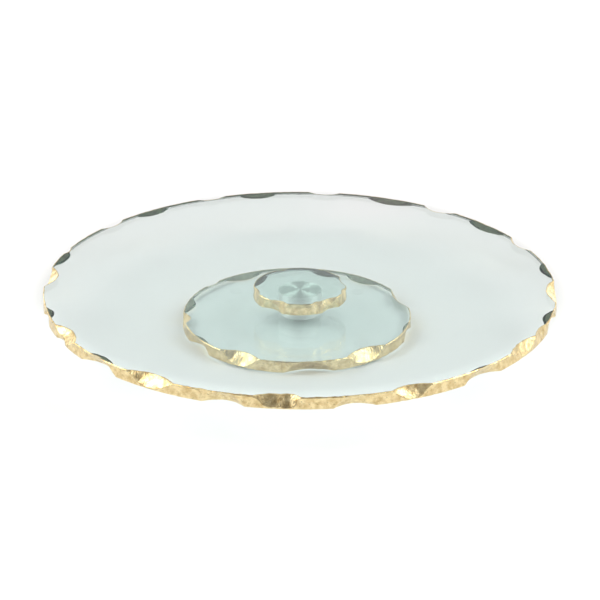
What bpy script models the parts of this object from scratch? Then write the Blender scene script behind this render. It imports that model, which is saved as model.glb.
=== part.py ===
"""Revolving glass cake stand: three hand-chipped, gold-edged glass discs on a ball-bearing swivel.

Metres, +Z up. The origin is on the spin axis, on the surface that the stand rests on.
Run with: blender --background --python part.py
"""

import math

import bmesh
import bpy
from mathutils import Matrix

MM = 0.001

# Glass discs. A chip is (bearing in degrees from +X, half width in mm, depth in mm).
GLASS_THICKNESS = 8 * MM
TOP_CHIP_REACH = 7.4 * MM  # how far a chip runs along the rim from the face it was struck on
BOTTOM_CHIP_REACH = 9 * MM
CHIP_CURVE = 1.1  # how a chip runs out over its reach: 1 is a flat facet and 2 a round scoop
RIM_BANDS = 3
BASE_CENTRE_X = -2.1 * MM  # the base disc is bonded a little off the spin axis
PLATE = {
    "radius": 177.8 * MM,
    "centre_x": 0.0,
    "segments": 144,
    "top_chips": (
        (24, 15, 6.0),
        (53, 15, 7.5),
        (84, 13, 5.5),
        (113, 13, 4.5),
        (143, 13, 5.0),
        (162, 7, 2.5),
        (177.5, 18, 8.0),
        (209.3, 17, 7.0),
        (238, 19, 6.0),
        (250, 6, 1.4),
        (264.8, 13, 5.0),
        (267.6, 9, 5.5),
        (293.2, 15, 5.0),
        (325.5, 18, 5.0),
        (334, 12, 3.0),
        (355.5, 20, 7.5),
    ),
    "bottom_chips": (
        (9, 13, 5.0),
        (38, 19, 7.0),
        (66.7, 19, 7.5),
        (100.7, 15, 6.5),
        (129.5, 15, 5.5),
        (165, 14, 5.0),
        (196, 11, 5.5),
        (207.7, 8, 3.0),
        (223.2, 18, 7.5),
        (254.6, 14, 6.5),
        (281.1, 14, 6.0),
        (311, 17, 6.5),
        (342.5, 15, 6.5),
    ),
}
BASE = {
    "radius": 80 * MM,
    "centre_x": BASE_CENTRE_X,
    "segments": 96,
    "top_chips": (
        (19, 18, 6.0),
        (86, 13, 3.0),
        (141, 9, 2.7),
        (187, 10, 5.2),
        (241, 16, 7.0),
        (307, 18, 7.5),
    ),
    "bottom_chips": (
        (53, 14, 6.5),
        (120, 15, 6.5),
        (168, 14, 6.0),
        (212, 14, 6.0),
        (276, 18, 6.5),
        (346, 12, 4.0),
    ),
}
RISER = {
    "radius": 32.5 * MM,
    "centre_x": 0.0,
    "segments": 64,
    "top_chips": (
        (15, 9, 3.0),
        (115, 7, 2.5),
        (197, 8, 2.5),
        (243, 7, 3.3),
        (293, 5, 3.0),
        (309, 8, 3.5),
        (345, 6, 2.5),
    ),
    "bottom_chips": (
        (57, 10, 5.0),
        (155, 11, 4.0),
        (232, 9, 4.0),
        (312, 8, 3.5),
    ),
}
LEAF_GAP = 0.3 * MM
LEAF_THICKNESS = 0.2 * MM

# Adhesive: each bonded joint is a film between two faces, with a sliver of clearance to both.
JOINT_HEIGHT = 0.2 * MM
FILM_THICKNESS = 0.1 * MM
PLATE_BOND_RADIUS = 27.5 * MM
RISER_BOND_RADIUS = 14.4 * MM
BASE_BOND_RADIUS = 13 * MM

# Clear stick-on feet under the base disc
FOOT_COUNT = 4
FOOT_HEIGHT = 1.2 * MM
FOOT_RADIUS = 4.5 * MM
FOOT_CIRCLE_RADIUS = 62 * MM
FOOT_STEPS = 20

# Swivel: a cup that turns on a flanged journal
TURN_STEPS = 36
SWIVEL_HEIGHT = 12 * MM
CAP_RADIUS = 15 * MM
CAP_SKIRT_BOTTOM = 2.3 * MM
CAP_ROOF = 1.6 * MM
CAP_SHOULDER_RADIUS = 8.4 * MM
FLANGE_RADIUS = 13.5 * MM
FLANGE_THICKNESS = 2 * MM
SEAT_RADIUS = 5.3 * MM
SEAT_HEIGHT = 0.7 * MM
JOURNAL_TOP = 10.1 * MM
CLIP_GROOVE_RADIUS = 3.3 * MM
CLIP_GROOVE_TOP = 9.6 * MM
EDGE_BREAK = 0.4 * MM
FIT_GAP = 0.1 * MM

# Deep-groove ball bearing, 8 x 19 x 6 mm
BORE_RADIUS = 4 * MM
OUTER_RADIUS = 9.5 * MM
BEARING_WIDTH = 6 * MM
PITCH_RADIUS = 6.75 * MM
BALL_COUNT = 7
BALL_RADIUS = 1.5 * MM
RACE_RADIUS = 1.7 * MM
LAND_OFFSET = 1 * MM  # from the pitch circle to each ring's land
RING_BREAK = 0.3 * MM
SHIELD_SEAT_RADIUS = 8.1 * MM
SHIELD_SEAT_DEPTH = 0.65 * MM
SHIELD_INNER_RADIUS = 5.95 * MM
SHIELD_THICKNESS = 0.25 * MM
CAGE_INNER_RADIUS = 6.2 * MM
CAGE_OUTER_RADIUS = 7.3 * MM
CAGE_BOTTOM = -2.2 * MM
CAGE_TOP = 0.5 * MM
POCKET_RADIUS = 1.68 * MM

# C-clip on the journal
CLIP_INNER_RADIUS = 3.5 * MM
CLIP_OUTER_RADIUS = 4.9 * MM
CLIP_THICKNESS = 0.55 * MM
CLIP_OPENING = math.radians(70)
CLIP_ARC_POINTS = 17

# Heights of the stack
BASE_BOTTOM = FOOT_HEIGHT
BASE_TOP = BASE_BOTTOM + GLASS_THICKNESS
SWIVEL_BOTTOM = BASE_TOP + JOINT_HEIGHT
SWIVEL_TOP = SWIVEL_BOTTOM + SWIVEL_HEIGHT
RISER_BOTTOM = SWIVEL_TOP + JOINT_HEIGHT
RISER_TOP = RISER_BOTTOM + GLASS_THICKNESS
PLATE_BOTTOM = RISER_TOP + JOINT_HEIGHT
BEARING_BOTTOM = FLANGE_THICKNESS + SEAT_HEIGHT + FIT_GAP
BEARING_TOP = BEARING_BOTTOM + BEARING_WIDTH
BEARING_CENTRE = SWIVEL_BOTTOM + BEARING_BOTTOM + BEARING_WIDTH / 2

SHARP_ANGLE = math.radians(35)


def clear_scene():
    for obj in list(bpy.data.objects):
        bpy.data.objects.remove(obj, do_unlink=True)


def new_collection(name):
    collection = bpy.data.collections.new(name)
    bpy.context.scene.collection.children.link(collection)
    return collection


def material(name, color, roughness, metallic=0.0, transmission=0.0, ior=1.5):
    made = bpy.data.materials.new(name)
    made.use_nodes = True
    shader = made.node_tree.nodes["Principled BSDF"]
    shader.inputs["Base Color"].default_value = (*color, 1.0)
    shader.inputs["Roughness"].default_value = roughness
    shader.inputs["Metallic"].default_value = metallic
    shader.inputs["Transmission Weight"].default_value = transmission
    shader.inputs["IOR"].default_value = ior
    return made


def add_object(name, mesh, finish, parent, height):
    """A sub-part on the spin axis, at a height above the table."""
    obj = bpy.data.objects.new(name, mesh)
    PARTS.objects.link(obj)
    obj.location.z = height
    obj.parent = parent
    mesh.materials.append(finish)
    return obj


def bake(obj):
    """Turns the evaluated shape into the object's own mesh, smooth except at its corners."""
    graph = bpy.context.evaluated_depsgraph_get()
    mesh = bpy.data.meshes.new_from_object(obj.evaluated_get(graph))
    obj.modifiers.clear()
    obj.data = mesh
    mesh.shade_smooth()
    mesh.set_sharp_from_angle(angle=SHARP_ANGLE)


def turned(name, profile, finish, parent, height, steps=TURN_STEPS):
    """A turned piece. The profile runs down the outer side: closed if it stays off the axis."""
    count = len(profile)
    off_axis = min(radius for radius, _ in profile) > 0
    edges = [(i, (i + 1) % count) for i in range(count if off_axis else count - 1)]
    mesh = bpy.data.meshes.new(name)
    mesh.from_pydata([(radius, 0, z) for radius, z in profile], edges, [])
    obj = add_object(name, mesh, finish, parent, height)
    screw = obj.modifiers.new("turn", "SCREW")
    screw.steps = steps
    screw.render_steps = steps
    screw.use_merge_vertices = True
    screw.merge_threshold = 0.00001
    bake(obj)
    return obj


def chip_bite(chip, radius, angle, run):
    """How deep a chip cuts into the rim at an angle, where it has run this part of its reach."""
    bearing, half_width, depth = chip
    turn = math.remainder(angle - math.radians(bearing), math.tau)
    across = radius * turn / (half_width * MM)
    return depth * MM * max(0.0, 1 - across**2 - run**CHIP_CURVE)


def rim_radius(disc, angle, height):
    """The rim's radius, where the deepest of the chips at this place decides."""
    radius = disc["radius"]
    down = max(0.0, GLASS_THICKNESS - height) / TOP_CHIP_REACH
    up = max(0.0, height) / BOTTOM_CHIP_REACH
    bites = [chip_bite(chip, radius, angle, down) for chip in disc["top_chips"]]
    bites += [chip_bite(chip, radius, angle, up) for chip in disc["bottom_chips"]]
    return radius - max(bites)


def chipped_wall(shape, disc, capped, offset):
    """Adds a round wall, cut into bands and knapped to the rim's radius, with or without faces."""
    made = bmesh.ops.create_cone(
        shape,
        cap_ends=capped,
        segments=disc["segments"],
        radius1=disc["radius"],
        radius2=disc["radius"],
        depth=GLASS_THICKNESS,
        matrix=Matrix.Translation((0, 0, GLASS_THICKNESS / 2)),
    )
    verts = set(made["verts"])
    for band in range(1, RIM_BANDS):
        edges = {edge for vert in verts for edge in vert.link_edges}
        faces = {face for vert in verts for face in vert.link_faces}
        cut = bmesh.ops.bisect_plane(
            shape,
            geom=[*verts, *edges, *faces],
            plane_co=(0, 0, GLASS_THICKNESS * band / RIM_BANDS),
            plane_no=(0, 0, 1),
        )
        verts |= {item for item in cut["geom_cut"] if isinstance(item, bmesh.types.BMVert)}
    for vert in verts:
        angle = math.atan2(vert.co.y, vert.co.x)
        radius = rim_radius(disc, angle, vert.co.z) + offset
        vert.co.x = radius * math.cos(angle)
        vert.co.y = radius * math.sin(angle)


def mesh_from(shape, name):
    bmesh.ops.recalc_face_normals(shape, faces=shape.faces)
    mesh = bpy.data.meshes.new(name)
    shape.to_mesh(mesh)
    shape.free()
    return mesh


def glass_disc(name, disc, parent, height):
    shape = bmesh.new()
    chipped_wall(shape, disc, capped=True, offset=0)
    glass = add_object(name, mesh_from(shape, name), GLASS, parent, height)
    glass.location.x = disc["centre_x"]
    bake(glass)


def gold_edge(name, disc, parent, height):
    """A thin band round the rim: two walls, joined along their upper and lower edges."""
    shape = bmesh.new()
    chipped_wall(shape, disc, capped=False, offset=LEAF_GAP)
    bmesh.ops.reverse_faces(shape, faces=shape.faces)
    chipped_wall(shape, disc, capped=False, offset=LEAF_GAP + LEAF_THICKNESS)
    ends = [edge for edge in shape.edges if edge.is_boundary]
    for upper in (True, False):
        rims = [edge for edge in ends if (edge.verts[0].co.z > GLASS_THICKNESS / 2) == upper]
        bmesh.ops.bridge_loops(shape, edges=rims)
    band = add_object(name, mesh_from(shape, name), GOLD, parent, height)
    band.location.x = disc["centre_x"]
    bake(band)


def bond_film(name, radius, parent, joint_bottom):
    """A round film of adhesive, in the middle of its joint."""
    height = joint_bottom + (JOINT_HEIGHT - FILM_THICKNESS) / 2
    profile = ((0, FILM_THICKNESS), (radius, FILM_THICKNESS), (radius, 0), (0, 0))
    turned(name, profile, ADHESIVE, parent, height)


def race_arc(side):
    """The groove's arc in a ring, from its upper to its lower end. side is 1 outside, -1 inside."""
    half_angle = math.acos(LAND_OFFSET / RACE_RADIUS)
    steps = 4
    angles = [half_angle * (1 - 2 * i / steps) for i in range(steps + 1)]
    return [
        (PITCH_RADIUS + side * RACE_RADIUS * math.cos(a), RACE_RADIUS * math.sin(a))
        for a in angles
    ]


def bearing_rings(inner_parent, outer_parent):
    half = BEARING_WIDTH / 2
    step = half - SHIELD_SEAT_DEPTH
    land = PITCH_RADIUS + LAND_OFFSET
    outer = [
        (SHIELD_SEAT_RADIUS, half),
        (OUTER_RADIUS - RING_BREAK, half),
        (OUTER_RADIUS, half - RING_BREAK),
        (OUTER_RADIUS, RING_BREAK - half),
        (OUTER_RADIUS - RING_BREAK, -half),
        (SHIELD_SEAT_RADIUS, -half),
        (SHIELD_SEAT_RADIUS, -step),
        (land, -step),
        *reversed(race_arc(1)),
        (land, step),
        (SHIELD_SEAT_RADIUS, step),
    ]
    turned("bearing_outer_ring", outer, BEARING_STEEL, outer_parent, BEARING_CENTRE)
    land = PITCH_RADIUS - LAND_OFFSET
    inner = [
        (BORE_RADIUS + RING_BREAK, half),
        (land, half),
        *race_arc(-1),
        (land, -half),
        (BORE_RADIUS + RING_BREAK, -half),
        (BORE_RADIUS, RING_BREAK - half),
        (BORE_RADIUS, half - RING_BREAK),
    ]
    turned("bearing_inner_ring", inner, BEARING_STEEL, inner_parent, BEARING_CENTRE)


def bearing_shields(parent):
    """Two pressed washers, seated in the outer ring and clear of the inner one."""
    outer = SHIELD_SEAT_RADIUS - FIT_GAP
    profile = (
        (SHIELD_INNER_RADIUS, SHIELD_THICKNESS),
        (outer, SHIELD_THICKNESS),
        (outer, 0),
        (SHIELD_INNER_RADIUS, 0),
    )
    rise = BEARING_WIDTH / 2 - SHIELD_SEAT_DEPTH + FIT_GAP
    turned("bearing_shield_upper", profile, STAMPED_STEEL, parent, BEARING_CENTRE + rise)
    low = BEARING_CENTRE - rise - SHIELD_THICKNESS
    turned("bearing_shield_lower", profile, STAMPED_STEEL, parent, low)


def ball_places():
    turns = [math.tau * i / BALL_COUNT for i in range(BALL_COUNT)]
    return [(PITCH_RADIUS * math.cos(t), PITCH_RADIUS * math.sin(t), 0) for t in turns]


def bearing_balls(parent):
    mesh = bpy.data.meshes.new("bearing_ball")
    shape = bmesh.new()
    bmesh.ops.create_uvsphere(shape, u_segments=12, v_segments=8, radius=BALL_RADIUS)
    shape.to_mesh(mesh)
    shape.free()
    mesh.shade_smooth()
    mesh.materials.append(BEARING_STEEL)
    for number, place in enumerate(ball_places(), start=1):
        ball = bpy.data.objects.new(f"bearing_ball_{number}", mesh)
        PARTS.objects.link(ball)
        ball.location = place
        ball.parent = parent


def pocket_cutter(parent):
    """Seven spheres in one mesh, a little larger than the balls."""
    mesh = bpy.data.meshes.new("ball_pockets")
    shape = bmesh.new()
    for place in ball_places():
        bmesh.ops.create_uvsphere(
            shape,
            u_segments=12,
            v_segments=8,
            radius=POCKET_RADIUS,
            matrix=Matrix.Translation(place),
        )
    shape.to_mesh(mesh)
    shape.free()
    cutter = bpy.data.objects.new("ball_pockets", mesh)
    CUTTERS.objects.link(cutter)
    cutter.parent = parent
    cutter.hide_render = True
    cutter.display_type = "WIRE"
    return cutter


def bearing_cage(parent):
    """A moulded crown: a closed ring under the balls, with prongs that reach up between them."""
    profile = (
        (CAGE_INNER_RADIUS, CAGE_TOP),
        (CAGE_OUTER_RADIUS, CAGE_TOP),
        (CAGE_OUTER_RADIUS, CAGE_BOTTOM),
        (CAGE_INNER_RADIUS, CAGE_BOTTOM),
    )
    cage = turned("bearing_cage", profile, NYLON, parent, 0)
    pockets = cage.modifiers.new("pockets", "BOOLEAN")
    pockets.operation = "DIFFERENCE"
    pockets.object = pocket_cutter(parent)


def swivel_cap(parent):
    """The moving half: a cup whose bore holds the outer ring against a shoulder."""
    top = SWIVEL_HEIGHT
    ceiling = top - CAP_ROOF
    bore = OUTER_RADIUS + FIT_GAP
    profile = (
        (0, top),
        (CAP_RADIUS - EDGE_BREAK, top),
        (CAP_RADIUS, top - EDGE_BREAK),
        (CAP_RADIUS, CAP_SKIRT_BOTTOM + EDGE_BREAK),
        (CAP_RADIUS - EDGE_BREAK, CAP_SKIRT_BOTTOM),
        (bore + EDGE_BREAK, CAP_SKIRT_BOTTOM),
        (bore, CAP_SKIRT_BOTTOM + EDGE_BREAK),
        (bore, BEARING_TOP + FIT_GAP),
        (CAP_SHOULDER_RADIUS, BEARING_TOP + FIT_GAP),
        (CAP_SHOULDER_RADIUS, ceiling),
        (0, ceiling),
    )
    turned("swivel_cap", profile, ALUMINIUM, parent, SWIVEL_BOTTOM)


def swivel_base(parent):
    """The fixed half: a flange, a seat for the inner ring, and a journal with a clip groove."""
    journal = BORE_RADIUS - FIT_GAP
    seat_top = FLANGE_THICKNESS + SEAT_HEIGHT
    profile = (
        (0, JOURNAL_TOP),
        (journal - RING_BREAK, JOURNAL_TOP),
        (journal, JOURNAL_TOP - RING_BREAK),
        (journal, CLIP_GROOVE_TOP),
        (CLIP_GROOVE_RADIUS, CLIP_GROOVE_TOP),
        (CLIP_GROOVE_RADIUS, BEARING_TOP),
        (journal, BEARING_TOP),
        (journal, seat_top),
        (SEAT_RADIUS, seat_top),
        (SEAT_RADIUS, FLANGE_THICKNESS),
        (FLANGE_RADIUS - EDGE_BREAK, FLANGE_THICKNESS),
        (FLANGE_RADIUS, FLANGE_THICKNESS - EDGE_BREAK),
        (FLANGE_RADIUS, 0),
        (0, 0),
    )
    turned("swivel_base", profile, ALUMINIUM, parent, SWIVEL_BOTTOM)


def retaining_ring(parent):
    """A flat C-clip, drawn as one closed outline."""
    half_gap = CLIP_OPENING / 2
    sweep = math.tau - CLIP_OPENING
    turns = [half_gap + sweep * i / (CLIP_ARC_POINTS - 1) for i in range(CLIP_ARC_POINTS)]
    outline = [(CLIP_OUTER_RADIUS, t) for t in turns]
    outline += [(CLIP_INNER_RADIUS, t) for t in reversed(turns)]
    curve = bpy.data.curves.new("retaining_ring", "CURVE")
    curve.dimensions = "2D"
    curve.fill_mode = "BOTH"
    curve.extrude = CLIP_THICKNESS / 2
    spline = curve.splines.new("POLY")
    spline.points.add(len(outline) - 1)
    for point, (radius, turn) in zip(spline.points, outline):
        point.co = (radius * math.cos(turn), radius * math.sin(turn), 0, 1)
    spline.use_cyclic_u = True
    height = SWIVEL_BOTTOM + BEARING_TOP + FIT_GAP + CLIP_THICKNESS / 2
    add_object("retaining_ring", curve, STAMPED_STEEL, parent, height)


def bumper_feet(parent):
    """Clear domed bumpers with a flat underside, stuck to the base disc."""
    height = FOOT_HEIGHT - FIT_GAP
    profile = (
        (0, height),
        (FOOT_RADIUS, height),
        (FOOT_RADIUS, 0.7 * height),
        (0.93 * FOOT_RADIUS, 0.25 * height),
        (0.75 * FOOT_RADIUS, 0),
        (0, 0),
    )
    for number in range(1, FOOT_COUNT + 1):
        turn = math.tau * (number - 0.5) / FOOT_COUNT
        foot = turned(f"bumper_foot_{number}", profile, CLEAR_RUBBER, parent, 0, FOOT_STEPS)
        foot.location.x = BASE_CENTRE_X + FOOT_CIRCLE_RADIUS * math.cos(turn)
        foot.location.y = FOOT_CIRCLE_RADIUS * math.sin(turn)


def body_empty(name, height=0.0):
    """The parent of one rigid group, on the spin axis."""
    empty = bpy.data.objects.new(name, None)
    PARTS.objects.link(empty)
    empty.location.z = height
    return empty


clear_scene()
PARTS = new_collection("cake_stand")
CUTTERS = new_collection("cutters")

GLASS = material("clear_glass", (0.86, 0.93, 0.90), 0.02, transmission=1.0, ior=1.52)
GOLD = material("gold_leaf", (0.85, 0.64, 0.30), 0.3, metallic=1.0)
ALUMINIUM = material("turned_aluminium", (0.80, 0.81, 0.82), 0.28, metallic=1.0)
BEARING_STEEL = material("bearing_steel", (0.62, 0.63, 0.65), 0.12, metallic=1.0)
STAMPED_STEEL = material("stamped_steel", (0.50, 0.51, 0.53), 0.35, metallic=1.0)
NYLON = material("nylon", (0.80, 0.78, 0.70), 0.5)
ADHESIVE = material("clear_adhesive", (0.92, 0.94, 0.92), 0.05, transmission=1.0)
CLEAR_RUBBER = material("clear_rubber", (0.88, 0.90, 0.90), 0.2, transmission=0.9, ior=1.48)

stationary = body_empty("stationary_base")
turntable = body_empty("turntable")
ball_set = body_empty("ball_set", BEARING_CENTRE)

bumper_feet(stationary)
glass_disc("base_disc", BASE, stationary, BASE_BOTTOM)
gold_edge("base_disc_gold_edge", BASE, stationary, BASE_BOTTOM)
bond_film("base_bond", BASE_BOND_RADIUS, stationary, BASE_TOP)
swivel_base(stationary)
retaining_ring(stationary)
bearing_rings(stationary, turntable)
bearing_balls(ball_set)
bearing_cage(ball_set)
bearing_shields(turntable)
swivel_cap(turntable)
bond_film("riser_bond", RISER_BOND_RADIUS, turntable, SWIVEL_TOP)
glass_disc("riser_disc", RISER, turntable, RISER_BOTTOM)
gold_edge("riser_disc_gold_edge", RISER, turntable, RISER_BOTTOM)
bond_film("plate_bond", PLATE_BOND_RADIUS, turntable, RISER_TOP)
glass_disc("top_plate", PLATE, turntable, PLATE_BOTTOM)
gold_edge("top_plate_gold_edge", PLATE, turntable, PLATE_BOTTOM)
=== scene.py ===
"""Looks of the revolving glass cake stand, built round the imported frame."""

import math
import random

import bpy
import numpy as np
from mathutils import Matrix, Vector, noise


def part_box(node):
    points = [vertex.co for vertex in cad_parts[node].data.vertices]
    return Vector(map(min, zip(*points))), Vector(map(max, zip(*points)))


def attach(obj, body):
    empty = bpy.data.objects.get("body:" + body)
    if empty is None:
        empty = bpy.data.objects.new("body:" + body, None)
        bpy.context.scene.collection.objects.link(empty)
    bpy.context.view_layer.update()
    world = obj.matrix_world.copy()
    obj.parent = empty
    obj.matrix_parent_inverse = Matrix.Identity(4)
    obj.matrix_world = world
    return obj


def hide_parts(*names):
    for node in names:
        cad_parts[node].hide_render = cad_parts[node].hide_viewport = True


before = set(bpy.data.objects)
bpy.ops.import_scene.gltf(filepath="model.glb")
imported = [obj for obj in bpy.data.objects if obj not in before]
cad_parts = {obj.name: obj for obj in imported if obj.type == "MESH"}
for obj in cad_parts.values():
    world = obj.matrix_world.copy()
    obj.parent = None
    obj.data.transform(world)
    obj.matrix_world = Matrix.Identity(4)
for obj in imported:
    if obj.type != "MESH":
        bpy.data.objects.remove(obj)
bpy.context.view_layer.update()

MM = 0.001

# ---------------------------------------------------------------- driving dimensions

PLATE_RADIUS = 177.8 * MM
BASE_RADIUS = 80 * MM
RISER_RADIUS = 32.5 * MM
BASE_CENTRE_X = -2.1 * MM  # the base disc is bonded a little off the axis

# A chip is (bearing in degrees from +X, half width in mm, depth in mm), by the face it starts on.
CHIP_REACH = {"top": 7.4 * MM, "bottom": 9 * MM}  # how far a chip runs along the wall
PLATE_CHIPS = {
    "top": (
        (24, 15, 6.0),
        (53, 15, 7.5),
        (84, 13, 5.5),
        (113, 13, 4.5),
        (143, 13, 5.0),
        (162, 7, 2.5),
        (177.5, 18, 8.0),
        (209.3, 17, 7.0),
        (238, 19, 6.0),
        (250, 6, 1.4),
        (264.8, 13, 5.0),
        (267.6, 9, 5.5),
        (293.2, 15, 5.0),
        (325.5, 18, 5.0),
        (334, 12, 3.0),
        (355.5, 20, 7.5),
    ),
    "bottom": (
        (9, 13, 5.0),
        (38, 19, 7.0),
        (66.7, 19, 7.5),
        (100.7, 15, 6.5),
        (129.5, 15, 5.5),
        (165, 14, 5.0),
        (196, 11, 5.5),
        (207.7, 8, 3.0),
        (223.2, 18, 7.5),
        (254.6, 14, 6.5),
        (281.1, 14, 6.0),
        (311, 17, 6.5),
        (342.5, 15, 6.5),
    ),
}
BASE_CHIPS = {
    "top": (
        (19, 18, 6.0),
        (86, 13, 3.0),
        (141, 9, 2.7),
        (187, 10, 5.2),
        (241, 16, 7.0),
        (307, 18, 7.5),
    ),
    "bottom": (
        (53, 14, 6.5),
        (120, 15, 6.5),
        (168, 14, 6.0),
        (212, 14, 6.0),
        (276, 18, 6.5),
        (346, 12, 4.0),
    ),
}
RISER_CHIPS = {
    "top": (
        (15, 9, 3.0),
        (115, 7, 2.5),
        (197, 8, 2.5),
        (243, 7, 3.3),
        (293, 5, 3.0),
        (309, 8, 3.5),
        (345, 6, 2.5),
    ),
    "bottom": (
        (57, 10, 5.0),
        (155, 11, 4.0),
        (232, 9, 4.0),
        (312, 8, 3.5),
    ),
}

SCOOP_CURVE = (2.0, 1.1)  # across and down: 1 is a flat facet and 2 a round scoop
CHIP_WARP = 1.1 * MM  # noise bends a chip's outline along the rim, coarsely and finely
CHIP_FINE_WARP = 0.3 * MM
CHIP_LIFT = 0.7 * MM  # and up and down
RIPPLE_PITCH = 1.6 * MM  # the ribs of a shell-shaped break, and their part of the chip's depth
RIPPLE_DEPTH = 0.014
SCAR_DEPTH = 0.11 * MM  # upright scars all over the wall, and pits
PIT_DEPTH = 0.07 * MM

# Small scoops between the chips, each with its least and most in mm
SMALL_SCOOP_SPACING = 9 * MM
SMALL_SCOOP_DEPTH = (0.15, 0.7)
SMALL_SCOOP_HALF_WIDTH = (0.8, 3.2)
SMALL_SCOOP_REACH = (0.8, 2.4)

BEVEL = 0.7 * MM
LOWER_BEVEL = 0.4  # as a part of the upper one
HOLLOW = 0.7 * MM  # the hollow of the wall, and how far under the top face it is deepest
HOLLOW_AT = 2.6 * MM
BONDED_DEPTH = 5.5 * MM  # the leaf sticks to the glass this far down from the top face
RIM_STEP = 0.5 * MM  # length of a rim segment
RIM_ROWS = 22
FACE_CLEARANCE = 0.05 * MM  # glass face to the CAD face, which leaves room for the leaf's lip
LEAF_GAP = 0.03 * MM
LEAF_THICKNESS = 0.12 * MM
LIP_THICKNESS = 0.03 * MM
LIP_MARGIN = 0.01 * MM  # left between the leaf's lip and the CAD face
TOP_LIP_WIDTH = 0.3 * MM
BOTTOM_LIP_WIDTH = 0.04 * MM

CAP_EDGE = 0.35 * MM
CAP_BORE_RADIUS = 9.6 * MM
CAP_ROOF = 1.6 * MM
CAP_SHOULDER_RADIUS = 8.4 * MM  # the shoulder that the bearing's outer ring seats on
CAP_SHOULDER_DEPTH = 1.5 * MM
TURN_STEPS = 192

# A bumper foot, as parts of its radius and of its height
FOOT_STEPS = 48
FOOT_FLAT = 0.74
FOOT_ROUND = 0.24
FOOT_SHOULDER = 0.6
FOOT_SIDE = 0.75

CAMERA_ELEVATION = 23.44
CAMERA_DISTANCE = 1.30
CAMERA_LENS = 112.0
CAMERA_DROP = 0.557  # degrees that the lens points below the plate's centre
CAMERA_ROLL = 0.28


# ---------------------------------------------------------------- node helpers


def new_material(name):
    """A node material with only its output, and a function that adds nodes to it."""
    made = bpy.data.materials.new(name)
    made.use_nodes = True
    tree = made.node_tree
    tree.nodes.clear()
    output = tree.nodes.new("ShaderNodeOutputMaterial")
    return made, tree, output


def add(tree, kind, settings=None, **sockets):
    """Adds a node. A socket's value is a number, a tuple, or another node's output."""
    node = tree.nodes.new(kind)
    for name, value in (settings or {}).items():
        setattr(node, name, value)
    for name, value in sockets.items():
        socket = node.inputs[name.replace("_", " ")]
        if isinstance(value, bpy.types.NodeSocket):
            tree.links.new(value, socket)
        else:
            socket.default_value = value
    return node


def ramp(tree, factor, stops):
    """A colour ramp from (position, colour) stops."""
    node = add(tree, "ShaderNodeValToRGB", Fac=factor)
    elements = node.color_ramp.elements
    while len(elements) < len(stops):
        elements.new(0.5)
    for element, (position, color) in zip(elements, stops):
        element.position = position
        element.color = (*color, 1.0)
    return node.outputs["Color"]


def gray(value):
    """A neutral colour."""
    return (value, value, value)


def noise_at(tree, scale, detail=3.0, roughness=0.5, stretch=None):
    """Noise in the object's own metres, stretched along an axis where asked."""
    place = add(tree, "ShaderNodeTexCoord").outputs["Object"]
    if stretch:
        mapping = add(tree, "ShaderNodeMapping", Vector=place, Scale=stretch)
        place = mapping.outputs["Vector"]
    node = add(
        tree,
        "ShaderNodeTexNoise",
        Vector=place,
        Scale=scale,
        Detail=detail,
        Roughness=roughness,
    )
    return node.outputs["Fac"]


def bump(tree, height, distance, strength=1.0, normal=None):
    """A bumped normal, on top of another one where given."""
    sockets = {"Height": height, "Distance": distance, "Strength": strength}
    if normal is not None:
        sockets["Normal"] = normal
    return add(tree, "ShaderNodeBump", **sockets).outputs["Normal"]


# ---------------------------------------------------------------- materials


def glass_material(name, absorption=(0.42, 0.90, 0.80), density=12.0):
    """Clear float glass: green in its thickness, with faint wiping marks on its faces."""
    made, tree, output = new_material(name)
    marks = noise_at(tree, 14, detail=4)
    rough = ramp(tree, marks, ((0.45, gray(0.0)), (0.8, gray(0.035))))
    shader = add(
        tree,
        "ShaderNodeBsdfPrincipled",
        Base_Color=(1, 1, 1, 1),
        Roughness=rough,
        IOR=1.52,
    )
    shader.inputs["Transmission Weight"].default_value = 1.0
    volume = add(
        tree,
        "ShaderNodeVolumeAbsorption",
        Color=(*absorption, 1),
        Density=density,
    )
    tree.links.new(shader.outputs["BSDF"], output.inputs["Surface"])
    tree.links.new(volume.outputs["Volume"], output.inputs["Volume"])
    return made


def gold_material(name, light, deep):
    """Gold leaf laid over broken glass: creased, grainy, with small gaps that show the dark size."""
    made, tree, output = new_material(name)
    clouds = noise_at(tree, 260, detail=5, roughness=0.6)
    color = ramp(tree, clouds, ((0.3, deep), (0.62, light)))
    specks = noise_at(tree, 900, detail=2, roughness=0.7)
    gaps = ramp(tree, specks, ((0.66, gray(0.0)), (0.73, gray(1.0))))
    worn = add(tree, "ShaderNodeMix", {"data_type": "RGBA"})
    tree.links.new(gaps, worn.inputs["Factor"])
    tree.links.new(color, worn.inputs[6])
    worn.inputs[7].default_value = (0.10, 0.085, 0.04, 1)
    rough = ramp(tree, noise_at(tree, 700, detail=3), ((0.3, gray(0.10)), (0.7, gray(0.26))))
    creases = noise_at(tree, 420, detail=6, roughness=0.65, stretch=(1, 1, 0.45))
    grain = noise_at(tree, 2600, detail=2)
    relief = bump(tree, creases, 0.0004, 0.8)
    relief = bump(tree, grain, 0.0001, 0.7, relief)
    shader = add(
        tree,
        "ShaderNodeBsdfPrincipled",
        Base_Color=worn.outputs[2],
        Roughness=rough,
        Metallic=1.0,
        Normal=relief,
    )
    tree.links.new(shader.outputs["BSDF"], output.inputs["Surface"])
    return made


def backing_material(name, dark, light):
    """The size under the leaf, seen through the glass. Darker and lighter copies of it stand for
    painted shade and painted light.
    """
    made, tree, output = new_material(name)
    color = ramp(tree, noise_at(tree, 300, detail=4), ((0.3, dark), (0.7, light)))
    shader = add(tree, "ShaderNodeBsdfPrincipled", Base_Color=color, Roughness=0.6)
    tree.links.new(shader.outputs["BSDF"], output.inputs["Surface"])
    return made


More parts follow.
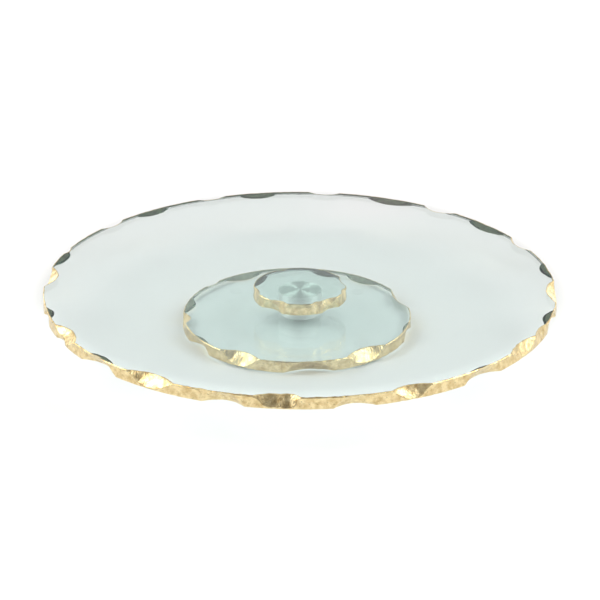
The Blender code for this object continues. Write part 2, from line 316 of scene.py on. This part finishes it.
def turned_metal(name, color, roughness, pitch):
    """Metal off the lathe: fine rings about the axis, and highlights drawn across them."""
    made, tree, output = new_material(name)
    place = add(tree, "ShaderNodeTexCoord").outputs["Object"]
    split = add(tree, "ShaderNodeSeparateXYZ", Vector=place)
    flat = add(tree, "ShaderNodeCombineXYZ")
    tree.links.new(split.outputs["X"], flat.inputs["X"])
    tree.links.new(split.outputs["Y"], flat.inputs["Y"])
    length = add(tree, "ShaderNodeVectorMath", {"operation": "LENGTH"})
    tree.links.new(flat.outputs["Vector"], length.inputs[0])
    run = add(tree, "ShaderNodeMath", {"operation": "ADD"})
    tree.links.new(length.outputs["Value"], run.inputs[0])
    tree.links.new(split.outputs["Z"], run.inputs[1])
    rings = add(
        tree,
        "ShaderNodeTexNoise",
        {"noise_dimensions": "1D"},
        W=run.outputs["Value"],
        Scale=1 / pitch,
        Detail=3.0,
    ).outputs["Fac"]
    tone = ramp(
        tree,
        rings,
        ((0.3, tuple(0.88 * c for c in color)), (0.7, color)),
    )
    shader = add(
        tree,
        "ShaderNodeBsdfPrincipled",
        Base_Color=tone,
        Metallic=1.0,
        Roughness=roughness,
        Anisotropic=0.95,
        Anisotropic_Rotation=0.25,
        Normal=bump(tree, rings, 0.00001, 0.6),
    )
    tangent = add(tree, "ShaderNodeTangent", {"direction_type": "RADIAL", "axis": "Z"})
    tree.links.new(tangent.outputs["Tangent"], shader.inputs["Tangent"])
    tree.links.new(shader.outputs["BSDF"], output.inputs["Surface"])
    return made


def plain_material(name, dark, light, roughness, metallic=0.0, scale=400.0, depth=0.00002):
    """A surface with a little mottling, uneven gloss and a fine grain."""
    made, tree, output = new_material(name)
    mottle = noise_at(tree, scale, detail=4)
    low, high = roughness
    shader = add(
        tree,
        "ShaderNodeBsdfPrincipled",
        Base_Color=ramp(tree, mottle, ((0.3, dark), (0.7, light))),
        Roughness=ramp(tree, mottle, ((0.3, gray(low)), (0.7, gray(high)))),
        Metallic=metallic,
        Normal=bump(tree, noise_at(tree, 4 * scale), depth, 0.6),
    )
    tree.links.new(shader.outputs["BSDF"], output.inputs["Surface"])
    return made


def clear_material(name, color, roughness, ior):
    """A clear soft plastic, with a slightly uneven skin."""
    made, tree, output = new_material(name)
    shader = add(
        tree,
        "ShaderNodeBsdfPrincipled",
        Base_Color=ramp(
            tree, noise_at(tree, 300), ((0.3, tuple(0.95 * c for c in color)), (0.7, color))
        ),
        Roughness=roughness,
        IOR=ior,
        Normal=bump(tree, noise_at(tree, 900), 0.00002, 0.4),
    )
    shader.inputs["Transmission Weight"].default_value = 1.0
    tree.links.new(shader.outputs["BSDF"], output.inputs["Surface"])
    return made


# ---------------------------------------------------------------- chipped rims


class Rim:
    """The broken edge of one disc: its radius at each column (angle) and row (height)."""

    def __init__(self, node, radius, centre_x, chips, seed):
        low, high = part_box(node)
        self.radius = radius
        self.centre_x = centre_x
        self.bottom = low.z + FACE_CLEARANCE
        self.top = high.z - FACE_CLEARANCE
        self.thickness = self.top - self.bottom
        self.columns = round(math.tau * self.radius / RIM_STEP)
        self.angles = math.tau * np.arange(self.columns) / self.columns
        steps = np.linspace(0, math.pi, RIM_ROWS)
        self.heights = self.bottom + self.thickness * (1 - np.cos(steps)) / 2
        self.seed = seed
        self.draw = random.Random(seed)
        self.bites = self.main_bites(chips)
        self.radii = self.rim_radii()

    def noise(self, along, up, octave=0):
        """Smooth noise over the rim, where along and up are its grain in metres."""
        lift = 10 * self.seed + 3 * octave
        field = np.empty((self.columns, RIM_ROWS))
        for i, angle in enumerate(self.angles):
            x = self.radius * math.cos(angle) / along
            y = self.radius * math.sin(angle) / along
            for j, height in enumerate(self.heights):
                field[i, j] = noise.noise(Vector((x, y, height / up + lift)))
        return field

    def main_bites(self, chips):
        """(angle, half width, depth, reach, from the top) of every scoop, large and small."""
        bites = []
        for face, listed in chips.items():
            for bearing, half_width, depth in listed:
                size = (half_width * MM, depth * MM, CHIP_REACH[face])
                bites.append((math.radians(bearing), *size, face == "top"))
        for _ in range(round(math.tau * self.radius / SMALL_SCOOP_SPACING)):
            depth = self.draw.uniform(*SMALL_SCOOP_DEPTH) * MM
            bites.append(
                (
                    self.draw.uniform(0, math.tau),
                    self.draw.uniform(*SMALL_SCOOP_HALF_WIDTH) * MM,
                    depth,
                    self.draw.uniform(*SMALL_SCOOP_REACH) * MM,
                    self.draw.random() < 0.5,
                )
            )
        return bites

    def rim_radii(self):
        """The wall's radius at each column and row, where the deepest of the scoops decides."""
        warp = CHIP_WARP * self.noise(7 * MM, 5 * MM)
        warp = warp + CHIP_FINE_WARP * self.noise(1.6 * MM, 2 * MM, 1)
        lift = CHIP_LIFT * self.noise(6 * MM, 5 * MM, 2)
        deepest = np.zeros((self.columns, RIM_ROWS))
        across, downward = SCOOP_CURVE
        for angle, half_width, depth, reach, from_top in self.bites:
            turn = (self.angles - angle + math.pi) % math.tau - math.pi
            along = self.radius * turn[:, None] + warp
            face = self.top if from_top else self.bottom
            down = np.abs(self.heights[None, :] - face) + lift
            down = np.clip(down, 0, None)
            fall = 1 - np.abs(along / half_width) ** across - (down / reach) ** downward
            ripple = RIPPLE_DEPTH * np.sin(math.tau * np.hypot(along, 1.3 * down) / RIPPLE_PITCH)
            bite = depth * np.clip(fall + ripple * (fall > 0), 0, None)
            deepest = np.maximum(deepest, bite)
        deepest = np.maximum(deepest, self.plain_wall())
        scars = SCAR_DEPTH * np.abs(self.noise(0.9 * MM, 9 * MM, 3))
        scars += PIT_DEPTH * np.abs(self.noise(2.6 * MM, 2.2 * MM, 4))
        return self.radius - deepest - scars

    def plain_wall(self):
        """How far in the wall between the scoops lies: a bevel, then a shallow hollow."""
        uneven = 1 + 0.5 * self.noise(4 * MM, 60 * MM, 5)
        down, up = self.top - self.heights, self.heights - self.bottom
        bevel = np.clip(BEVEL * uneven - down, 0, None)
        lower_bevel = np.clip(LOWER_BEVEL * BEVEL * uneven - up, 0, None)
        upper = down / HOLLOW_AT
        lower = (self.thickness - down) / (self.thickness - HOLLOW_AT)
        hollow = HOLLOW * np.clip(np.minimum(upper, lower), 0, 1) * np.clip(uneven, 0.4, 1.4)
        return np.maximum(np.maximum(bevel, lower_bevel), hollow)


def ring_mesh(name, radii, heights, rim, closed):
    """A mesh swept round the disc: columns of (radius, height) points, open or closed rings."""
    columns, rows = radii.shape
    angles = rim.angles
    points = np.empty((columns, rows, 3))
    points[..., 0] = rim.centre_x + radii * np.cos(angles)[:, None]
    points[..., 1] = radii * np.sin(angles)[:, None]
    points[..., 2] = heights
    index = np.arange(columns * rows).reshape(columns, rows)
    after = np.roll(index, -1, axis=0)
    if closed:
        above, above_after = np.roll(index, -1, axis=1), np.roll(after, -1, axis=1)
        quads = np.stack((index, after, above_after, above), axis=-1)
    else:
        quads = np.stack(
            (index[:, :-1], after[:, :-1], after[:, 1:], index[:, 1:]), axis=-1
        )
    faces = quads.reshape(-1, 4).tolist()
    if not closed:
        faces.append(index[::-1, 0].tolist())
        faces.append(index[:, -1].tolist())
    mesh = bpy.data.meshes.new(name)
    mesh.from_pydata(points.reshape(-1, 3).tolist(), [], faces)
    mesh.validate()
    return mesh


def add_piece(name, mesh, body, slot, *replaced):
    """A visible piece that rides a body and stands in for the CAD nodes named last."""
    piece = bpy.data.objects.new(name, mesh)
    bpy.context.scene.collection.objects.link(piece)
    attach(piece, body)
    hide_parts(*replaced)
    return piece


def smooth(mesh, sharp=35):
    """Smooth shading, but sharp at edges that turn by more than this angle in degrees."""
    mesh.shade_smooth()
    mesh.set_sharp_from_angle(angle=math.radians(sharp))


def glass_disc(rim, node, body, material, wetted):
    """The disc itself: a wall, wetted by the leaf's size near its top, and two flat faces."""
    mesh = ring_mesh(f"{node}_glass", rim.radii, rim.heights[None, :], rim, False)
    mesh.materials.append(material)
    mesh.materials.append(wetted)
    bonded_rows = rim.heights[:-1] > rim.top - BONDED_DEPTH
    slots = np.append(np.tile(bonded_rows, rim.columns), (False, False))
    mesh.polygons.foreach_set("material_index", slots.astype(np.int32))
    smooth(mesh, 50)
    for flat_face in mesh.polygons[-2:]:
        flat_face.use_smooth = False
    return add_piece(f"{node}_glass", mesh, body, "clear_glass", node)


def leaf_lip(rim, octave, width):
    """How far the leaf turns in over a face, in ragged tongues."""
    coarse = rim.noise(5 * MM, 50 * MM, octave)[:, 0]
    fine = rim.noise(0.9 * MM, 50 * MM, octave + 1)[:, 0]
    return width * np.clip(1 + 1.2 * coarse + 1.1 * fine, 0.3, 3)


def gold_edge(rim, node, body, gold, backing):
    """A thin closed skin over the wall, with a ragged lip on each face of the glass."""
    top_lip, bottom_lip = leaf_lip(rim, 10, TOP_LIP_WIDTH), leaf_lip(rim, 13, BOTTOM_LIP_WIDTH)
    outer_gap = LEAF_GAP + LEAF_THICKNESS
    inner, outer = rim.radii + LEAF_GAP, rim.radii + outer_gap
    flat_heights = np.broadcast_to(rim.heights, rim.radii.shape)
    lip_gap = FACE_CLEARANCE - LIP_THICKNESS - LIP_MARGIN

    def column(values):
        return np.broadcast_to(values, (rim.columns,))[:, None]

    # Up the outside, in over the top face, back along it, down the inside, and under.
    radii = np.hstack(
        (
            column(rim.radii[:, 0] - bottom_lip),
            outer[:, :1],
            outer[:, 1:-1],
            outer[:, -1:],
            column(rim.radii[:, -1] - top_lip),
            column(rim.radii[:, -1] - top_lip),
            inner[:, :0:-1],
            inner[:, :1],
            column(rim.radii[:, 0] - bottom_lip),
        )
    )
    heights = np.hstack(
        (
            column(rim.bottom - lip_gap - LIP_THICKNESS),
            column(rim.bottom - lip_gap - LIP_THICKNESS),
            flat_heights[:, 1:-1],
            column(rim.top + lip_gap + LIP_THICKNESS),
            column(rim.top + lip_gap + LIP_THICKNESS),
            column(rim.top + lip_gap),
            column(rim.top + lip_gap),
            flat_heights[:, -2:0:-1],
            column(rim.bottom - lip_gap),
            column(rim.bottom - lip_gap),
        )
    )
    mesh = ring_mesh(f"{node}_leaf", radii, heights, rim, True)
    mesh.materials.append(gold)
    # the inside's colour: on the riser a painted shade copy, on the base a painted light copy
    mesh.materials.append(backing)
    rows = radii.shape[1]
    outside = RIM_ROWS + 2
    row_of_face = np.tile(np.arange(rows), rim.columns)
    mesh.polygons.foreach_set("material_index", (row_of_face >= outside).astype(np.int32))
    smooth(mesh, 60)
    return add_piece(f"{node}_leaf", mesh, body, "gold_leaf", f"{node}_gold_edge")


# ---------------------------------------------------------------- turned pieces


def turned_piece(name, profile, body, material, replaced, steps=TURN_STEPS):
    """A turned piece on the axis, from a profile that runs down its outer side."""
    off_axis = min(radius for radius, _ in profile) > 0
    count = len(profile)
    edges = [(i, (i + 1) % count) for i in range(count if off_axis else count - 1)]
    mesh = bpy.data.meshes.new(name)
    mesh.from_pydata([(radius, 0, z) for radius, z in profile], edges, [])
    piece = bpy.data.objects.new(name, mesh)
    bpy.context.scene.collection.objects.link(piece)
    screw = piece.modifiers.new("turn", "SCREW")
    screw.steps = screw.render_steps = steps
    screw.use_merge_vertices = True
    screw.merge_threshold = 0.000001
    graph = bpy.context.evaluated_depsgraph_get()
    piece.data = bpy.data.meshes.new_from_object(piece.evaluated_get(graph))
    piece.modifiers.clear()
    piece.data.materials.append(material)
    smooth(piece.data, 30)
    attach(piece, body)
    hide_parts(*replaced)
    return piece


def rounded_corner(radius, height, size, up, steps=4):
    """Points of a small round edge, in profile order: up is 1 at a top corner and -1 below."""
    turns = [math.pi / 2 * i / steps for i in range(steps + 1)]
    if up > 0:
        turns.reverse()
    return [
        (
            radius - size + size * math.cos(t),
            height + up * (size * math.sin(t) - size),
        )
        for t in turns
    ]


def swivel_cap(metal):
    """The turned cup, with rounded edges and a stepped bore."""
    low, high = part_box("swivel_cap")
    radius = (high.x - low.x) / 2
    ceiling = high.z - CAP_ROOF
    shoulder = ceiling - CAP_SHOULDER_DEPTH
    profile = [
        (0, high.z),
        *rounded_corner(radius, high.z, CAP_EDGE, 1),
        *rounded_corner(radius, low.z, CAP_EDGE, -1),
        (CAP_BORE_RADIUS + CAP_EDGE, low.z),
        (CAP_BORE_RADIUS, low.z + CAP_EDGE),
        (CAP_BORE_RADIUS, shoulder),
        (CAP_SHOULDER_RADIUS, shoulder),
        (CAP_SHOULDER_RADIUS, ceiling),
        (0, ceiling),
    ]
    turned_piece(
        "swivel_cap_turned", profile, "turntable", metal, ["swivel_cap"]
    )


def bumper_feet(rubber):
    """Clear bumpers with a rounded shoulder and a flat underside."""
    for number in range(1, 5):
        node = f"bumper_foot_{number}"
        low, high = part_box(node)
        centre = (low + high) / 2
        radius = (high.x - low.x) / 2
        height = high.z - low.z
        turns = [math.pi / 2 * i / 6 for i in range(7)]
        shoulder = [
            (
                radius * (FOOT_FLAT + FOOT_ROUND * math.cos(t)),
                low.z + FOOT_SHOULDER * height * (1 - math.sin(t)),
            )
            for t in turns
        ]
        profile = [
            (0, high.z),
            (radius, high.z),
            (radius, low.z + FOOT_SIDE * height),
            *shoulder,
            (0, low.z),
        ]
        foot = turned_piece(
            f"{node}_clear", profile, "base", rubber, [node], FOOT_STEPS
        )
        foot.data.transform(Matrix.Translation((centre.x, centre.y, 0)))


# ---------------------------------------------------------------- stage, light, camera


FLOOR_HALF_SIZE = 12.0
FLOOR_DROP = 0.02 * MM
PAINTED_SHADOW_CENTRE = (0, 0.0875, 0)  # painted shadow: the floor's colour is darker in a disc behind and under the plate
PAINTED_SHADOW_STOPS = ((0.186, gray(0.80)), (0.2, gray(0.98)))  # distance in metres, and the painted shadow's tone


def make_floor():
    """A white floor, whose colour is darker in a soft-edged disc round the stand: a painted shadow.
    """
    mesh = bpy.data.meshes.new("floor")
    size = FLOOR_HALF_SIZE
    corners = [(-size, -size, 0), (size, -size, 0), (size, size, 0), (-size, size, 0)]
    mesh.from_pydata(corners, [], [(0, 1, 2, 3)])
    floor = bpy.data.objects.new("floor", mesh)
    floor.location.z = -FLOOR_DROP
    bpy.context.scene.collection.objects.link(floor)
    made, tree, output = new_material("floor_white_painted_shadow")
    mottle = ramp(tree, noise_at(tree, 3, detail=2), ((0.3, gray(0.99)), (0.7, gray(1.0))))
    place = add(tree, "ShaderNodeTexCoord").outputs["Object"]
    away = add(tree, "ShaderNodeVectorMath", {"operation": "DISTANCE"})
    tree.links.new(place, away.inputs[0])
    away.inputs[1].default_value = PAINTED_SHADOW_CENTRE
    # painted shadow: the floor's colour is darker within these distances of its centre
    painted_shadow_tone = ramp(tree, away.outputs["Value"], PAINTED_SHADOW_STOPS)
    color = add(tree, "ShaderNodeVectorMath", {"operation": "MULTIPLY"})
    tree.links.new(painted_shadow_tone, color.inputs[0])
    tree.links.new(mottle, color.inputs[1])
    shader = add(
        tree, "ShaderNodeBsdfPrincipled", Base_Color=color.outputs["Vector"], Roughness=0.8
    )
    tree.links.new(shader.outputs["BSDF"], output.inputs["Surface"])
    mesh.materials.append(made)


ROOM_LIGHT = 0.50
DARKEST_LIGHT = 0.05
ROOM_PATCHES = (
    # azimuth, elevation, half width, half height in degrees, colour: two broad softboxes, the
    # dark gap over the camera, the wall that the plate mirrors, the paler walls beside it, and
    # a warm blush on it
    (180, 40, 20, 19, (4.7, 4.66, 4.6)),
    (0, 40, 20, 19, (4.7, 4.66, 4.6)),
    (-90, 64, 30, 22, (-0.46, -0.46, -0.46)),
    (90, 24, 16, 9, (0.09, 0.11, 0.12)),
    (60, 3, 19, 12, (2.5, 2.45, 2.4)),
    (120, 3, 19, 12, (2.5, 2.45, 2.4)),
    (87.8, 21.1, 1.9, 0.5, (0.22, 0.08, 0.11)),
)


def room_patch(tree, direction, azimuth, elevation, half_width, half_height, color):
    """A soft oval of light in the room, round a direction. Returns its colour socket."""
    centre = direction_of(azimuth, elevation)
    side = direction_of(azimuth + 90, 0)
    axes = (side / math.radians(half_width), centre.cross(side) / math.radians(half_height))
    total = None
    for axis in axes:
        along = add(tree, "ShaderNodeVectorMath", {"operation": "DOT_PRODUCT"})
        tree.links.new(direction, along.inputs[0])
        along.inputs[1].default_value = axis
        squared = add(tree, "ShaderNodeMath", {"operation": "POWER"})
        tree.links.new(along.outputs["Value"], squared.inputs[0])
        squared.inputs[1].default_value = 2.0
        if total is not None:
            both = add(tree, "ShaderNodeMath", {"operation": "ADD"})
            tree.links.new(total, both.inputs[0])
            tree.links.new(squared.outputs["Value"], both.inputs[1])
            squared = both
        total = squared.outputs["Value"]
    fall = add(tree, "ShaderNodeMath", {"operation": "POWER"})
    fall.inputs[0].default_value = math.exp(-1)
    tree.links.new(total, fall.inputs[1])
    facing = add(tree, "ShaderNodeVectorMath", {"operation": "DOT_PRODUCT"})
    tree.links.new(direction, facing.inputs[0])
    facing.inputs[1].default_value = centre
    front = add(tree, "ShaderNodeMath", {"operation": "GREATER_THAN"})
    tree.links.new(facing.outputs["Value"], front.inputs[0])
    front.inputs[1].default_value = 0.0
    shown = add(tree, "ShaderNodeMath", {"operation": "MULTIPLY"})
    tree.links.new(fall.outputs["Value"], shown.inputs[0])
    tree.links.new(front.outputs["Value"], shown.inputs[1])
    tinted = add(tree, "ShaderNodeVectorMath", {"operation": "SCALE"})
    tinted.inputs[0].default_value = color
    tree.links.new(shown.outputs["Value"], tinted.inputs["Scale"])
    return tinted.outputs["Vector"]


def make_world():
    """A soft studio room of even light, with brighter and darker patches in it."""
    world = bpy.data.worlds.new("studio")
    bpy.context.scene.world = world
    world.use_nodes = True
    tree = world.node_tree
    tree.nodes.clear()
    output = tree.nodes.new("ShaderNodeOutputWorld")
    direction = add(tree, "ShaderNodeTexCoord").outputs["Generated"]
    light = None
    for patch in ROOM_PATCHES:
        total = add(tree, "ShaderNodeVectorMath", {"operation": "ADD"})
        if light is None:
            total.inputs[0].default_value = gray(ROOM_LIGHT)
        else:
            tree.links.new(light, total.inputs[0])
        tree.links.new(room_patch(tree, direction, *patch), total.inputs[1])
        light = total.outputs["Vector"]
    least = add(tree, "ShaderNodeVectorMath", {"operation": "MAXIMUM"})
    tree.links.new(light, least.inputs[0])
    least.inputs[1].default_value = gray(DARKEST_LIGHT)
    background = add(tree, "ShaderNodeBackground", Color=least.outputs["Vector"], Strength=1.0)
    tree.links.new(background.outputs["Background"], output.inputs["Surface"])


def direction_of(azimuth, elevation):
    """A unit vector: azimuth 0 is towards +X and 90 towards +Y."""
    a, e = math.radians(azimuth), math.radians(elevation)
    return Vector((math.cos(a) * math.cos(e), math.sin(a) * math.cos(e), math.sin(e)))


def make_camera():
    """The camera in front of the stand, aimed a little under the plate's centre."""
    top = Vector((0, 0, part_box("top_plate")[1].z))
    toward = direction_of(-90, CAMERA_ELEVATION)
    aim = direction_of(-90, CAMERA_ELEVATION + CAMERA_DROP)
    data = bpy.data.cameras.new("camera")
    data.lens = CAMERA_LENS
    data.clip_start = 0.05
    camera = bpy.data.objects.new("camera", data)
    bpy.context.scene.collection.objects.link(camera)
    camera.location = top + CAMERA_DISTANCE * toward
    level = aim.to_track_quat("Z", "Y").to_matrix()
    roll = Matrix.Rotation(math.radians(CAMERA_ROLL), 3, "Z")
    camera.rotation_euler = (level @ roll).to_euler()
    bpy.context.scene.camera = camera


# ---------------------------------------------------------------- assembly


def main():
    """Materials, then the pieces that replace CAD nodes, then the finish of the rest."""
    glass = glass_material("clear_glass_polished")
    backing = backing_material("leaf_backing", (0.23, 0.30, 0.18), (0.37, 0.47, 0.29))
    # painted shade: a darker copy of the size's colour, for the riser
    backing_painted_shade = backing_material("leaf_backing_painted_shade", (0.05, 0.06, 0.02), (0.10, 0.12, 0.05))
    # painted light: a lighter copy of the size's colour, for the base
    backing_painted_light = backing_material("leaf_backing_painted_light", (0.56, 0.60, 0.42), (0.74, 0.78, 0.56))
    gold = gold_material("gold_leaf_bright", (0.90, 0.75, 0.43), (0.57, 0.40, 0.17))
    metal = turned_metal("aluminium_turned", (0.90, 0.95, 0.93), 0.5, 0.00022)
    steel = plain_material(
        "steel_ground", (0.50, 0.51, 0.53), (0.66, 0.67, 0.69), (0.12, 0.22), metallic=1.0
    )
    stamped = plain_material(
        "steel_stamped", (0.40, 0.41, 0.43), (0.55, 0.56, 0.58), (0.3, 0.45), metallic=1.0
    )
    nylon = plain_material("nylon_moulded", (0.70, 0.67, 0.58), (0.80, 0.78, 0.70), (0.4, 0.55))
    rubber = clear_material("rubber_clear", (0.99, 0.99, 0.99), 0.03, 1.03)
    film = clear_material("adhesive_clear", (0.98, 0.99, 0.98), 0.02, 1.02)
    wetted = clear_material("glass_under_size", (0.90, 0.93, 0.90), 0.02, 1.02)

    # the size's colour per disc: the plate's own, a painted shade copy on the riser, a painted light
    # copy on the base
    discs = (
        ("top_plate", PLATE_RADIUS, 0.0, PLATE_CHIPS, "turntable", backing, 1),
        ("riser_disc", RISER_RADIUS, 0.0, RISER_CHIPS, "turntable", backing_painted_shade, 2),
        ("base_disc", BASE_RADIUS, BASE_CENTRE_X, BASE_CHIPS, "base", backing_painted_light, 3),
    )
    for node, radius, centre_x, chips, body, size_and_painted_tone, seed in discs:
        rim = Rim(node, radius, centre_x, chips, seed)
        glass_disc(rim, node, body, glass, wetted)
        gold_edge(rim, node, body, gold, size_and_painted_tone)
    swivel_cap(metal)
    bumper_feet(rubber)

    # The first start that fits a node's name decides its finish.
    finishes = {
        "swivel_base": metal,
        "retaining_ring": stamped,
        "bearing_shield": stamped,
        "bearing_cage": nylon,
        "bearing_": steel,
        "plate_bond": film,
        "riser_bond": film,
        "base_bond": film,
    }
    for name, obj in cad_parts.items():
        for start, finish in finishes.items():
            if name.startswith(start):
                obj.data.materials.clear()
                obj.data.materials.append(finish)
                break

    make_floor()
    make_world()
    make_camera()
    bpy.context.scene.view_settings.view_transform = "Standard"
    paths = bpy.context.scene.cycles  # clear glass is three discs deep: let light go all the way
    paths.blur_glossy = 0.0
    paths.max_bounces = paths.transmission_bounces = 32
    paths.glossy_bounces = 12


main()
